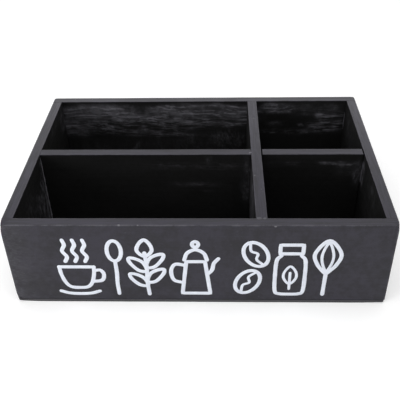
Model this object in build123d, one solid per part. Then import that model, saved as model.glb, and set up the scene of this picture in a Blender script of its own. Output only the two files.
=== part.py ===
from build123d import *
import os

# A countertop tray of thin painted boards. Four walls stand on a nailed bottom panel,
# and two dividers that cross in a half lap split the inside into four open bays.
# Millimetres, +X right, +Y back, +Z up. The origin is under the middle of the tray.

# Overall size
tray_width = 300.0
tray_depth = 205.0
tray_height = 80.5

# Thickness of the boards
wall_thickness = 9.0
divider_thickness = 9.0
bottom_thickness = 3.0

# Clear width of the two right bays and clear depth of the two front bays, wall to divider
right_bay_width = 88.4
front_bay_depth = 89.0

# Half lap where the dividers cross. The notch is tight on the left and loose on the right.
lap_height_share = 0.5
lap_tight_side_gap = 0.05
lap_loose_side_gap = 0.85
lap_hidden_side_gap = 0.4

# The cross divider touches the left wall and stops a little short of the right one
cross_end_gap = 0.9

# Edges, sanded after the walls are glued up
rim_outer_round = 1.0
rim_inner_round = 0.6
wall_corner_round = 1.4
wall_foot_round = 0.35
divider_top_round = 0.6
panel_corner_round = 2.5
panel_edge_round = 0.3

# Wire of the brads: a flat wire with a head that is wider one way and a chisel point
wire_width = 1.25
wire_thickness = 1.05
head_width = 2.0
head_height = 0.6
point_length = 1.5

# Long brads hold the walls and dividers and are set below the painted face.
# Short brads hold the bottom panel and are driven flush from below.
wall_brad_length = 25.0
wall_brad_set_depth = 0.9
bottom_brad_length = 16.0
bottom_brad_set_depth = 0.1

# Gap all round a brad in its hole, and how far a cutting block runs past what it cuts
brad_clearance = 0.02
overrun = 5.0

# Heights of the brads as shares of the wall's height
corner_brad_shares = (0.3, 0.56, 0.84)
divider_brad_shares = (0.33, 0.76)

# Places of the bottom brads as shares of the free length of the board that they enter
long_board_brad_shares = (0.06, 0.34, 0.66, 0.94)
short_board_brad_shares = (0.22, 0.78)
cross_divider_brad_shares = (0.14, 0.42, 0.84)

# Heights and widths that follow from the sizes above
wall_height = tray_height - bottom_thickness
inside_width = tray_width - 2 * wall_thickness
inside_depth = tray_depth - 2 * wall_thickness
lap_floor = bottom_thickness + wall_height * lap_height_share
long_divider_x = inside_width / 2 - right_bay_width - divider_thickness / 2
cross_divider_y = -inside_depth / 2 + front_bay_depth + divider_thickness / 2
cross_divider_length = inside_width - cross_end_gap
cross_divider_x = -inside_width / 2 + cross_divider_length / 2

UPRIGHT = (Align.CENTER, Align.CENTER, Align.MIN)


def standing_block(x_size, y_size, z_size, x_mid=0, y_mid=0, z_low=0):
    """A block centred on (x_mid, y_mid) whose lower face is at z_low."""
    return Pos(x_mid, y_mid, z_low) * Box(x_size, y_size, z_size, align=UPRIGHT)


def edges_at_height(solid, height, half_width, half_depth):
    """The level edges at a height whose middles lie within half_width and half_depth."""
    level = solid.edges().filter_by_position(Axis.Z, height, height)
    across = level.filter_by_position(Axis.X, -half_width, half_width)
    return across.filter_by_position(Axis.Y, -half_depth, half_depth)


def wall_ring():
    """The four walls as one ring, with the edges that are sanded after the glue-up."""
    ring = standing_block(tray_width, tray_depth, wall_height, z_low=bottom_thickness)
    ring = fillet(ring.edges().filter_by(Axis.Z), wall_corner_round)
    outer_top = edges_at_height(ring, tray_height, tray_width, tray_depth)
    ring = fillet(outer_top, rim_outer_round)
    outer_foot = edges_at_height(ring, bottom_thickness, tray_width, tray_depth)
    ring = fillet(outer_foot, wall_foot_round)
    ring -= standing_block(inside_width, inside_depth, wall_height, z_low=bottom_thickness)
    inner_top = edges_at_height(
        ring,
        tray_height,
        inside_width / 2 + rim_inner_round / 2,
        inside_depth / 2 + rim_inner_round / 2,
    )
    return fillet(inner_top, rim_inner_round)


def front_and_back_boards(ring):
    """The front and back boards run the full width and cover the ends of the side boards."""
    boards = []
    for side in (-1, 1):
        slab_y = side * (tray_depth - wall_thickness + overrun) / 2
        slab = standing_block(
            tray_width + overrun, wall_thickness + overrun, tray_height, y_mid=slab_y
        )
        boards.append(ring & slab)
    return boards


def left_and_right_boards(ring):
    """The side boards are butted between the front and back boards."""
    boards = []
    for side in (-1, 1):
        slab_x = side * (tray_width - wall_thickness + overrun) / 2
        slab = standing_block(wall_thickness + overrun, inside_depth, tray_height, x_mid=slab_x)
        boards.append(ring & slab)
    return boards


def bottom_board():
    """The thin bottom panel under the walls, flush with their faces and rounder at its corners."""
    panel = standing_block(tray_width, tray_depth, bottom_thickness)
    panel = fillet(panel.edges().filter_by(Axis.Z), panel_corner_round)
    level_edges = panel.edges().group_by(Axis.Z)
    return fillet(level_edges[0] + level_edges[-1], panel_edge_round)


def round_divider_top(divider, along):
    """The divider with the two long edges of its top face eased."""
    top_edges = divider.edges().filter_by(along).group_by(Axis.Z)[-1]
    return fillet(top_edges, divider_top_round)


def long_divider_board():
    """The front-to-back divider, notched from below, so that its top edge runs through."""
    board = standing_block(
        divider_thickness, inside_depth, wall_height, long_divider_x, 0, bottom_thickness
    )
    board = round_divider_top(board, Axis.Y)
    notch = standing_block(
        divider_thickness + overrun,
        divider_thickness + 2 * lap_hidden_side_gap,
        lap_floor - bottom_thickness + overrun,
        long_divider_x,
        cross_divider_y,
        bottom_thickness - overrun,
    )
    return board - notch


def cross_divider_board():
    """The left-to-right divider, notched from above, so that the long divider drops into it."""
    board = standing_block(
        cross_divider_length,
        divider_thickness,
        wall_height,
        cross_divider_x,
        cross_divider_y,
        bottom_thickness,
    )
    board = round_divider_top(board, Axis.X)
    notch = standing_block(
        divider_thickness + lap_tight_side_gap + lap_loose_side_gap,
        divider_thickness + overrun,
        tray_height - lap_floor + overrun,
        long_divider_x + (lap_loose_side_gap - lap_tight_side_gap) / 2,
        cross_divider_y,
        lap_floor,
    )
    return board - notch


def brad_body(length, gap=0, mouth=0):
    """A brad driven along +Z, with its head's outer face at the origin and its width along X.

    For the hole of the brad, gap swells it all round and mouth opens it outwards.
    """
    half_head = head_width / 2 + gap
    half_wire = wire_width / 2 + gap
    outline = Polyline(
        (-half_head, -gap - mouth),
        (half_head, -gap - mouth),
        (half_head, head_height + gap),
        (half_wire, head_height + gap),
        (half_wire, length - point_length + gap),
        (0, length + gap),
        (-half_wire, length - point_length + gap),
        (-half_wire, head_height + gap),
        (-half_head, head_height + gap),
        close=True,
    )
    return extrude(make_face(Plane.XZ * outline), wire_thickness / 2 + gap, both=True)


def wall_heights(shares):
    """Heights above the ground at shares of the wall's height."""
    return [bottom_thickness + wall_height * share for share in shares]


def end_brads(side, middles, shares):
    """Where brads enter the front (side -1) or back (side 1) board, above each middle in x."""
    face_y = side * (tray_depth / 2 - wall_brad_set_depth)
    return [
        Plane(origin=(x, face_y, z), x_dir=(1, 0, 0), z_dir=(0, -side, 0))
        for x in middles
        for z in wall_heights(shares)
    ]


def corner_brads(side):
    """The brads that run through the front or back board into the ends of the side boards."""
    side_board_x = (tray_width - wall_thickness) / 2
    return end_brads(side, (-side_board_x, side_board_x), corner_brad_shares)


def long_divider_brads():
    """The brads that run through the front and back boards into the long divider."""
    return [
        place
        for side in (-1, 1)
        for place in end_brads(side, (long_divider_x,), divider_brad_shares)
    ]


def cross_divider_brads():
    """The brads that run through the left board into the tight end of the cross divider."""
    face_x = -tray_width / 2 + wall_brad_set_depth
    return [
        Plane(origin=(face_x, cross_divider_y, z), x_dir=(0, 1, 0), z_dir=(1, 0, 0))
        for z in wall_heights(divider_brad_shares)
    ]


def bottom_brads():
    """The brads that run up through the bottom panel into the walls and dividers."""
    board_y = (tray_depth - wall_thickness) / 2
    board_x = (tray_width - wall_thickness) / 2
    spots = []
    for share in long_board_brad_shares:
        x = tray_width * (share - 1 / 2)
        spots += [(x, -board_y), (x, board_y)]
    for share in short_board_brad_shares:
        y = inside_depth * (share - 1 / 2)
        spots += [(-board_x, y), (board_x, y), (long_divider_x, y)]
    for share in cross_divider_brad_shares:
        x = cross_divider_x + cross_divider_length * (share - 1 / 2)
        spots.append((x, cross_divider_y))
    return [
        Plane(origin=(x, y, bottom_brad_set_depth), x_dir=(1, 0, 0), z_dir=(0, 0, 1))
        for x, y in spots
    ]


def drilled(board, holes_by_group):
    """The board with the holes of the brads that enter it."""
    for holes in holes_by_group:
        board -= holes
    return board


def placed(places, solid):
    """A copy of the solid at each place."""
    return [place * solid for place in places]


def write_node(name, solids):
    """Write one node of one or more separate solids to parts/NAME.step."""
    export_step(Compound(list(solids)), os.path.join("parts", name + ".step"))


def main():
    os.makedirs("parts", exist_ok=True)

    wall_brad = brad_body(wall_brad_length)
    wall_hole = brad_body(wall_brad_length, brad_clearance)
    bottom_brad = brad_body(bottom_brad_length)
    bottom_hole = brad_body(bottom_brad_length, brad_clearance, overrun)

    front_corners = placed(corner_brads(-1), wall_hole)
    back_corners = placed(corner_brads(1), wall_hole)
    long_ends = placed(long_divider_brads(), wall_hole)
    cross_end = placed(cross_divider_brads(), wall_hole)
    under = placed(bottom_brads(), bottom_hole)

    ring = wall_ring()
    front, back = front_and_back_boards(ring)
    left, right = left_and_right_boards(ring)
    boards = {
        "front_board": drilled(front, [front_corners, long_ends, under]),
        "back_board": drilled(back, [back_corners, long_ends, under]),
        "left_board": drilled(left, [front_corners, back_corners, cross_end, under]),
        "right_board": drilled(right, [front_corners, back_corners, under]),
        "bottom_panel": drilled(bottom_board(), [under]),
        "long_divider": drilled(long_divider_board(), [long_ends, under]),
        "cross_divider": drilled(cross_divider_board(), [cross_end, under]),
    }
    for name, board in boards.items():
        write_node(name, board.solids())

    write_node("front_corner_brads", placed(corner_brads(-1), wall_brad))
    write_node("back_corner_brads", placed(corner_brads(1), wall_brad))
    write_node("long_divider_brads", placed(long_divider_brads(), wall_brad))
    write_node("cross_divider_brads", placed(cross_divider_brads(), wall_brad))
    write_node("bottom_panel_brads", placed(bottom_brads(), bottom_brad))


main()
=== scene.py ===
"""A coffee station organizer of thin painted boards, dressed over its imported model.

Seven boards are rebuilt as fine meshes with uneven sanded edges, brush relief and small dings.
A row of kitchen drawings in raised white paint stands on the front board. Sizes in the classes
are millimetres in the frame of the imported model, and the meshes are in metres.
"""
import logging
import math
from dataclasses import dataclass, field, replace
from enum import Enum
from typing import Callable

import bpy
import numpy as np
from mathutils import Euler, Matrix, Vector, noise


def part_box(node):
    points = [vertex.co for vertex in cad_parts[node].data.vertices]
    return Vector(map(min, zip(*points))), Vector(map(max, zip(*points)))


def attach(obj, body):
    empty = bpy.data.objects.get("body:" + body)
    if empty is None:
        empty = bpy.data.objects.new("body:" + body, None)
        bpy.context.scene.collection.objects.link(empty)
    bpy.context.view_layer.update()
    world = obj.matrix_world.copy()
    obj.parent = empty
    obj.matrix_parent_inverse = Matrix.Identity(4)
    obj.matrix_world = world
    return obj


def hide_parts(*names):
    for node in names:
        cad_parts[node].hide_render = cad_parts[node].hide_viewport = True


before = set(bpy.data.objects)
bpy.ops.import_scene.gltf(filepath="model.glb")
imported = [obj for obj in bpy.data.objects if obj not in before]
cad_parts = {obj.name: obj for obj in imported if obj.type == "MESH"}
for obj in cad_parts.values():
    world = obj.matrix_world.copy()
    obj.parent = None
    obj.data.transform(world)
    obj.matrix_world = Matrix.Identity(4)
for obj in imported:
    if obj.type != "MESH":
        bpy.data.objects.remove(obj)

MM = 0.001
BODY = "root"

# Faces that meet at more than this angle keep a crease in their shading
CREASE = math.radians(38)

# Lengths shorter than this count as nothing
TINY = 1e-6

log = logging.getLogger("organizer")


class Axis(Enum):
    """A direction of the tray: across, front to back, or up."""

    ACROSS = 0
    DEEP = 1
    UP = 2


class Side(Enum):
    """Which end of an axis a face of a board looks to."""

    LOW = -1
    HIGH = 1


class Region(Enum):
    """The parts of a board that carry different paint; rims, insides, panel edges and divider tops
    carry lighter and duller copies of one paint, which paint light and shade.
    """

    FACE = 0
    RIM = 1
    INSIDE = 2
    UNDERSIDE = 3
    PANEL_EDGE = 4
    DIVIDER_TOP = 5


class Slot(Enum):
    """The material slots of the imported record."""

    PAINTED_WOOD = "painted_wood"
    NAIL_STEEL = "nail_steel"
    WHITE_PAINT = "white_paint"


# Node wiring

Value = float | tuple[float, ...] | bpy.types.NodeSocket
Sockets = dict[str, bpy.types.NodeSocket]


@dataclass
class Wires:
    """Short calls that add nodes to one node tree and join them."""

    tree: bpy.types.NodeTree

    def add(self, kind: str, **settings: object) -> bpy.types.Node:
        """Add a node and set its plain properties.

        Args:
            kind: Blender's name of the node type.
            settings: Properties of the node and their values.

        Returns:
            The new node.
        """
        node = self.tree.nodes.new(kind)
        for name, value in settings.items():
            setattr(node, name, value)
        return node

    def feed(self, socket: bpy.types.NodeSocket, value: Value) -> None:
        """Join a socket to another one, or set its value.

        Args:
            socket: The socket that is fed.
            value: The socket that it is joined to, or its plain value.
        """
        if isinstance(value, bpy.types.NodeSocket):
            self.tree.links.new(value, socket)
        else:
            socket.default_value = value

    def maths(self, operation: str, first: Value, second: Value = 0.0) -> bpy.types.NodeSocket:
        """Add a Math node.

        Args:
            operation: Blender's name of the operation.
            first: The first value or socket.
            second: The second value or socket.

        Returns:
            The result's socket.
        """
        node = self.add("ShaderNodeMath", operation=operation)
        self.feed(node.inputs[0], first)
        self.feed(node.inputs[1], second)
        return node.outputs[0]

    def times(self, first: Value, second: Value) -> bpy.types.NodeSocket:
        """Add a product of two values, and return its result."""
        return self.maths("MULTIPLY", first, second)

    def shared(self, first: Value, second: Value, share: float) -> bpy.types.NodeSocket:
        """Add a weighted sum of two values.

        Args:
            first: The value that has the share.
            second: The value that has the rest.
            share: The weight of the first value, from 0 to 1.

        Returns:
            The result's socket.
        """
        return self.maths("ADD", self.times(first, share), self.times(second, 1.0 - share))

    def stretch(self, vector: Value, factors: Value) -> bpy.types.NodeSocket:
        """Multiply a vector by factors.

        Args:
            vector: The vector.
            factors: One factor for each axis.

        Returns:
            The result's socket.
        """
        node = self.add("ShaderNodeVectorMath", operation="MULTIPLY")
        self.feed(node.inputs[0], vector)
        self.feed(node.inputs[1], factors)
        return node.outputs[0]

    def shift(self, vector: Value, offset: Value) -> bpy.types.NodeSocket:
        """Move a vector by an offset.

        Args:
            vector: The vector.
            offset: How far it moves on each axis. One value moves it as far on all three.

        Returns:
            The result's socket.
        """
        node = self.add("ShaderNodeVectorMath", operation="ADD")
        self.feed(node.inputs[0], vector)
        self.feed(node.inputs[1], offset)
        return node.outputs[0]

    def noise(
        self, vector: Value, scale: float, detail: float, rough: float = 0.55,
        swirl: float = 0.0,
    ) -> bpy.types.NodeSocket:
        """Add a Noise Texture.

        Args:
            vector: Where the noise is read.
            scale: Blobs per unit of the vector.
            detail: Number of finer layers.
            rough: How strong the finer layers are.
            swirl: How far the noise distorts itself.

        Returns:
            The socket of its value, from 0 to 1.
        """
        node = self.add("ShaderNodeTexNoise", noise_dimensions="3D")
        self.feed(node.inputs["Vector"], vector)
        node.inputs["Scale"].default_value = scale
        node.inputs["Detail"].default_value = detail
        node.inputs["Roughness"].default_value = rough
        node.inputs["Distortion"].default_value = swirl
        return node.outputs[0]

    def ramp(
        self, value: Value, low: Value, high: Value, start: Value = 0.0, end: Value = 1.0
    ) -> bpy.types.NodeSocket:
        """Add a smooth step.

        Args:
            value: The value that is mapped.
            low: Where the step starts.
            high: Where the step ends.
            start: The result at and below low.
            end: The result at and above high.

        Returns:
            The result's socket.
        """
        node = self.add("ShaderNodeMapRange", interpolation_type="SMOOTHSTEP")
        for socket, given in zip(node.inputs, (value, low, high, start, end)):
            self.feed(socket, given)
        return node.outputs[0]

    def blend(self, factor: Value, first: Value, second: Value) -> bpy.types.NodeSocket:
        """Add a colour mix.

        Args:
            factor: How much of the second colour shows, from 0 to 1.
            first: The first colour.
            second: The second colour.

        Returns:
            The result's socket.
        """
        node = self.add("ShaderNodeMix", data_type="RGBA")
        # Its colours are inputs 6 and 7 and output 2, because other types come before them
        self.feed(node.inputs[0], factor)
        self.feed(node.inputs[6], first)
        self.feed(node.inputs[7], second)
        return node.outputs[2]

    def attribute(self, name: str) -> bpy.types.NodeSocket:
        """Read a value that the mesh keeps at its points."""
        return self.add("ShaderNodeAttribute", attribute_name=name).outputs["Fac"]

    def group(self, tree: bpy.types.NodeTree, **inputs: Value) -> bpy.types.Node:
        """Place a shared effect.

        Args:
            tree: The effect's node group.
            inputs: Values or sockets for its inputs, by name.

        Returns:
            The group's node.
        """
        node = self.add("ShaderNodeGroup", node_tree=tree)
        for name, value in inputs.items():
            self.feed(node.inputs[name], value)
        return node

    def relief(
        self, shader: bpy.types.Node, height: Value, strength: float, depth: float
    ) -> None:
        """Give a shader relief that follows a mask.

        Args:
            shader: The shader.
            height: The mask, from 0 in the hollows to 1 on the heights.
            strength: How much of the relief shows, from 0 to 1.
            depth: The height between hollows and heights in millimetres.
        """
        bump = self.add("ShaderNodeBump")
        bump.inputs["Strength"].default_value = strength
        bump.inputs["Distance"].default_value = depth * MM
        self.feed(bump.inputs["Height"], height)
        self.feed(shader.inputs["Normal"], bump.outputs["Normal"])


def new_finish(name: str) -> tuple[bpy.types.Material, Wires, bpy.types.Node]:
    """Start a material.

    Args:
        name: The material's name.

    Returns:
        The material, its wiring and its Principled BSDF.
    """
    made = bpy.data.materials.new(name)
    made.use_nodes = True
    return made, Wires(made.node_tree), made.node_tree.nodes["Principled BSDF"]


@dataclass
class SharedEffect:
    """One effect that several finishes use, kept as a node group and built once."""

    name: str
    inputs: dict[str, str]
    outputs: dict[str, str]
    fill: Callable[[Wires, Sockets, Sockets], None]
    tree: bpy.types.NodeTree | None = None

    def get(self) -> bpy.types.NodeTree:
        """Build the effect the first time that it is used.

        Returns:
            Its node group.
        """
        if self.tree is None:
            self.tree = bpy.data.node_groups.new(self.name, "ShaderNodeTree")
            for way, sockets in (("INPUT", self.inputs), ("OUTPUT", self.outputs)):
                for name, kind in sockets.items():
                    self.tree.interface.new_socket(name, in_out=way, socket_type=kind)
            wires = Wires(self.tree)
            entry = wires.add("NodeGroupInput").outputs
            result = wires.add("NodeGroupOutput").inputs
            self.fill(
                wires,
                {name: entry[name] for name in self.inputs},
                {name: result[name] for name in self.outputs},
            )
        return self.tree


FLOAT = "NodeSocketFloat"
VECTOR = "NodeSocketVector"


def fill_brushed_grain(wires: Wires, given: Sockets, result: Sockets) -> None:
    """Grain and brush marks that run along a board, with soft cloudy patches.

    Args:
        wires: The group's node tree.
        given: Position in metres, Stretch, the marks per metre along each axis, and Lined,
            how much the marks show over the clouds.
        result: Tone and Height, both from 0 to 1.
    """
    long_marks = wires.stretch(given["Position"], given["Stretch"])
    fine = wires.noise(long_marks, scale=1.0, detail=5.0, rough=0.62, swirl=0.25)
    broad = wires.noise(long_marks, scale=0.192, detail=3.0, rough=0.5)
    clouds = wires.noise(given["Position"], scale=34.0, detail=3.0, rough=0.5, swirl=0.3)
    mottle = wires.noise(given["Position"], scale=210.0, detail=3.0, rough=0.6, swirl=0.3)
    speckle = wires.noise(given["Position"], scale=900.0, detail=2.0, rough=0.5)
    marks = wires.shared(fine, broad, 0.65)
    soft = wires.shared(clouds, mottle, 0.5)
    plain = wires.maths("SUBTRACT", 1.0, given["Lined"])
    tone = wires.maths("ADD", wires.times(marks, given["Lined"]), wires.times(soft, plain))
    wires.feed(result["Tone"], wires.ramp(tone, low=0.36, high=0.64))
    wires.feed(result["Height"], wires.shared(fine, speckle, 0.6))


# The furthest that a stroke of the dry brush wanders from its line
STROKE_SWAY = 32 * MM


def fill_dry_brush_and_light(wires: Wires, given: Sockets, result: Sockets) -> None:
    """A film of paint left by a nearly dry brush, with dark scratches and sparse bright marks;
    unscratched, it also lays the lighter haze that paints light on the front face.

    Args:
        wires: The group's node tree.
        given: Position, Stretch, Cover, how much of the surface carries paint, and Scratched,
            how much of the film the long scratches cut away.
        result: Streaks, a mask from 0 to 1.
    """
    place, cover = given["Position"], given["Cover"]
    sway = wires.times(wires.noise(place, scale=8.0, detail=1.0, rough=0.4), STROKE_SWAY)
    line = wires.stretch(wires.shift(place, sway), given["Stretch"])
    smears = wires.noise(line, scale=0.4, detail=3.0, rough=0.6, swirl=0.5)
    strokes = wires.noise(line, scale=1.0, detail=2.0, rough=0.5, swirl=0.5)
    hairs = wires.noise(line, scale=1.7, detail=2.0, rough=0.6, swirl=0.3)
    breaks = wires.noise(place, scale=95.0, detail=4.0, rough=0.65, swirl=0.3)
    clouds = wires.noise(place, scale=120.0, detail=3.0, rough=0.55, swirl=0.4)
    broken = wires.times(wires.maths("SUBTRACT", breaks, 0.5), 1.3)
    ragged = wires.ramp(wires.maths("ADD", cover, broken), low=0.25, high=0.95)
    there = wires.shared(ragged, cover, 0.72)
    haze = wires.ramp(wires.shared(smears, clouds, 0.5), low=0.38, high=0.62, start=0.3)
    lines = wires.shared(strokes, hairs, 0.6)
    left_over = wires.maths("SUBTRACT", 1.0, wires.times(given["Scratched"], 0.9))
    scratches = wires.ramp(lines, low=0.44, high=0.51, start=left_over)
    level = wires.ramp(cover, low=0.0, high=1.0, start=0.67, end=0.53)
    marks = wires.ramp(lines, low=level, high=wires.maths("ADD", level, 0.05))
    both = wires.shared(wires.times(haze, scratches), marks, 0.55)
    wires.feed(result["Streaks"], wires.times(both, there))


def fill_edge_wear(wires: Wires, given: Sockets, result: Sockets) -> None:
    """Paint rubbed thin along sanded edges and broken off at dings.

    Args:
        wires: The group's node tree.
        given: Position, Nearness to a sanded edge, and Chipped, the mark of a ding.
        result: Wear and Chips, masks from 0 to 1.
    """
    patches = wires.noise(given["Position"], scale=120.0, detail=4.0, rough=0.6, swirl=0.2)
    fine = wires.noise(given["Position"], scale=700.0, detail=3.0, rough=0.6)
    texture = wires.shared(patches, fine, 0.7)
    rubbed = wires.times(given["Nearness"], wires.ramp(texture, low=0.25, high=0.7))
    wires.feed(result["Wear"], wires.ramp(rubbed, low=0.08, high=1.0))
    ragged = wires.maths("ADD", given["Chipped"], wires.times(texture, 0.5))
    wires.feed(result["Chips"], wires.ramp(ragged, low=0.5, high=0.85))


def fill_specks(wires: Wires, given: Sockets, result: Sockets) -> None:
    """Scattered specks of dust and grit held in the paint.

    Args:
        wires: The group's node tree.
        given: Position, and Density from 0 to 1.
        result: Specks, a mask from 0 to 1.
    """
    cells = wires.add("ShaderNodeTexVoronoi", feature="F1", voronoi_dimensions="3D")
    wires.feed(cells.inputs["Vector"], given["Position"])
    cells.inputs["Scale"].default_value = 260.0
    areas = wires.noise(given["Position"], scale=60.0, detail=2.0)
    picked = wires.ramp(areas, low=0.5, high=0.75)
    near = wires.ramp(cells.outputs["Distance"], low=0.08, high=0.22, start=1.0, end=0.0)
    wires.feed(result["Specks"], wires.times(wires.times(near, picked), given["Density"]))


BRUSHED_GRAIN = SharedEffect(
    "brushed_grain", {"Position": VECTOR, "Stretch": VECTOR, "Lined": FLOAT},
    {"Tone": FLOAT, "Height": FLOAT}, fill_brushed_grain,
)
DRY_BRUSH_AND_LIGHT = SharedEffect(
    "dry_brush_and_light",
    {"Position": VECTOR, "Stretch": VECTOR, "Cover": FLOAT, "Scratched": FLOAT},
    {"Streaks": FLOAT}, fill_dry_brush_and_light,
)
EDGE_WEAR = SharedEffect(
    "edge_wear", {"Position": VECTOR, "Nearness": FLOAT, "Chipped": FLOAT},
    {"Wear": FLOAT, "Chips": FLOAT}, fill_edge_wear,
)
SPECKS = SharedEffect(
    "held_specks", {"Position": VECTOR, "Density": FLOAT}, {"Specks": FLOAT}, fill_specks
)


# Finishes

Colour = tuple[float, float, float, float]


def grey(value: float, blue: float = 1.42) -> Colour:
    """A dark grey with a little less green and more or less blue, from its linear value."""
    return (value, value * (1.0 - 0.22 * (blue - 1.0)), value * blue, 1.0)


@dataclass(frozen=True)
class Paint:
    """A matte paint laid on a board with a brush, with worn edges and dry streaks, and a lighter
    haze that paints light on the front face.

    The colour goes from deep to raised, and the roughness between the two values of matte,
    with the tone of the grain. Marks, streaks and dabs are so many per metre. lined is how
    much the marks show over soft clouds, and relief how much of relief_depth shows.
    """

    name: str
    deep: Colour
    raised: Colour
    worn: Colour
    chip: Colour
    # The colour of dry streaks, and on the front face of the lighter haze that paints light
    streak_and_light: Colour
    matte: tuple[float, float]
    sheen_level: float
    relief: float
    relief_depth: float = 0.12
    marks_along: float = 14.0
    marks_across: float = 420.0
    specks: float = 0.5
    lined: float = 0.7
    streaks_along: float = 46.0
    streaks_across: float = 450.0
    dabs_along: float = 100.0
    dabs_across: float = 300.0

    def scales(self, along: float, across: float, lengthwise: Axis) -> tuple[float, ...]:
        """Marks per metre on each axis for marks that run lengthwise."""
        return tuple(along if axis is lengthwise else across for axis in Axis)

    def material(self, lengthwise: Axis) -> bpy.types.Material:
        """The paint for boards whose grain runs one way, made once for each way.

        Args:
            lengthwise: The axis along which the board's grain and brush marks run.

        Returns:
            The material.
        """
        name = f"{self.name}_{lengthwise.name.lower()}"
        if name in bpy.data.materials:
            return bpy.data.materials[name]
        made, wires, shader = new_finish(name)
        place = wires.add("ShaderNodeTexCoord").outputs["Object"]

        grain = wires.group(
            BRUSHED_GRAIN.get(), Position=place,
            Stretch=self.scales(self.marks_along, self.marks_across, lengthwise),
            Lined=self.lined,
        )
        colour = wires.blend(grain.outputs["Tone"], self.deep, self.raised)
        # Dry streaks, which on the front face also lay a lighter haze that paints light
        for cover, stretch in (
            ("brushed_and_lit_along", self.scales(self.streaks_along, self.streaks_across, lengthwise)),
            ("brushed_and_lit_up", self.scales(self.dabs_along, self.dabs_across, Axis.UP)),
        ):
            brush = wires.group(
                DRY_BRUSH_AND_LIGHT.get(), Position=place, Stretch=stretch, Cover=wires.attribute(cover),
                Scratched=wires.attribute("scratched"),
            )
            colour = wires.blend(brush.outputs["Streaks"], colour, self.streak_and_light)
        wear = wires.group(
            EDGE_WEAR.get(), Position=place, Nearness=wires.attribute("edge_nearness"),
            Chipped=wires.attribute("chipped"),
        )
        colour = wires.blend(wear.outputs["Wear"], colour, self.worn)
        colour = wires.blend(wear.outputs["Chips"], colour, self.chip)
        grit = wires.group(SPECKS.get(), Position=place, Density=self.specks)
        colour = wires.blend(grit.outputs["Specks"], colour, self.worn)
        wires.feed(shader.inputs["Base Color"], colour)

        wires.feed(
            shader.inputs["Roughness"], wires.ramp(grain.outputs["Tone"], 0.0, 1.0, *self.matte)
        )
        wires.relief(shader, grain.outputs["Height"], self.relief, self.relief_depth)
        shader.inputs["Specular IOR Level"].default_value = self.sheen_level
        return made


@dataclass(frozen=True)
class WhitePaint:
    """Thick white paint laid on with a round brush."""

    name: str = "white_brush_paint"
    thin: Colour = (0.80, 0.835, 0.93, 1.0)
    full: Colour = (0.88, 0.92, 1.0, 1.0)
    matte: tuple[float, float] = (0.62, 0.48)
    sheen_level: float = 0.35
    relief: float = 0.25
    relief_depth: float = 0.1

    def material(self) -> bpy.types.Material:
        """Build the paint's material.

        Returns:
            The material.
        """
        made, wires, shader = new_finish(self.name)
        place = wires.add("ShaderNodeTexCoord").outputs["Object"]
        pools = wires.noise(place, scale=160.0, detail=4.0, rough=0.6, swirl=0.4)
        brush = wires.noise(place, scale=600.0, detail=3.0, rough=0.6)
        wires.feed(shader.inputs["Base Color"],
                   wires.blend(wires.ramp(pools, low=0.3, high=0.7), self.thin, self.full))
        wires.feed(shader.inputs["Roughness"], wires.ramp(pools, 0.2, 0.8, *self.matte))
        wires.relief(shader, brush, self.relief, self.relief_depth)
        shader.inputs["Specular IOR Level"].default_value = self.sheen_level
        return made


@dataclass(frozen=True)
class BradSteel:
    """Plain steel wire, dulled and a little stained."""

    name: str = "dull_brad_steel"
    bright: Colour = (0.42, 0.41, 0.40, 1.0)
    stained: Colour = (0.13, 0.11, 0.10, 1.0)
    matte: tuple[float, float] = (0.38, 0.7)

    def material(self) -> bpy.types.Material:
        """Build the steel's material.

        Returns:
            The material.
        """
        made, wires, shader = new_finish(self.name)
        place = wires.add("ShaderNodeTexCoord").outputs["Object"]
        spots = wires.noise(place, scale=900.0, detail=4.0, rough=0.6)
        stains = wires.ramp(spots, low=0.42, high=0.62)
        wires.feed(shader.inputs["Base Color"], wires.blend(stains, self.bright, self.stained))
        wires.feed(shader.inputs["Roughness"], wires.ramp(stains, 0.0, 1.0, *self.matte))
        shader.inputs["Metallic"].default_value = 1.0
        return made


# Its streak colour serves only the patches at the left end of the front face, which paint light
# there
FACE_PAINT = Paint(
    "charcoal_face", deep=grey(0.003, 1.9), raised=grey(0.0105, 1.9), worn=grey(0.06, 1.2),
    chip=grey(0.12, 1.1), streak_and_light=grey(0.035, 1.2), matte=(0.64, 0.52), sheen_level=0.5,
    relief=0.85, streaks_along=260.0, streaks_across=900.0, lined=0.25, specks=0.35,
)
# A copy of the charcoal paint for the tops of the walls: glossier from rubbing, and with a lighter
# raised colour that paints the light falling on the upward tops
RUBBED_AND_LIT_RIM_PAINT = Paint(
    "rubbed_and_lit_rim", deep=grey(0.0008, 4.0), raised=grey(0.0158, 1.75), worn=grey(0.046, 1.2),
    chip=grey(0.13, 1.1), streak_and_light=grey(0.06), matte=(0.44, 0.32), sheen_level=0.4, relief=0.8,
    marks_along=48.0, marks_across=1150.0, specks=0.6, lined=0.85,
)
# A copy of the wall tops' paint for the dividers' tops, with less sheen so that they render
# darker: painted shade
DIMMED_DIVIDER_TOP_PAINT = replace(RUBBED_AND_LIT_RIM_PAINT, name="rubbed_and_dimmed_divider_top", sheen_level=0.35)
# A duller copy of the charcoal paint for the faces inside the bays, with almost no sheen, so that
# they render near black: painted shade in the bays
SHADED_INSIDE_PAINT = Paint(
    "shaded_inside", deep=grey(0.0072, 1.0), raised=grey(0.0102, 1.0), worn=grey(0.02),
    chip=grey(0.1), streak_and_light=grey(0.138, 1.1), matte=(0.85, 0.75), sheen_level=0.06, relief=0.5,
    lined=0.4, specks=0.3,
)
UNDERSIDE_PAINT = Paint(
    "thin_underside", deep=grey(0.022, 1.0), raised=(0.058, 0.053, 0.048, 1.0),
    worn=grey(0.05), chip=grey(0.1), streak_and_light=grey(0.05), matte=(0.85, 0.7), sheen_level=0.25,
    relief=0.8, specks=0.7,
)
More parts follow.
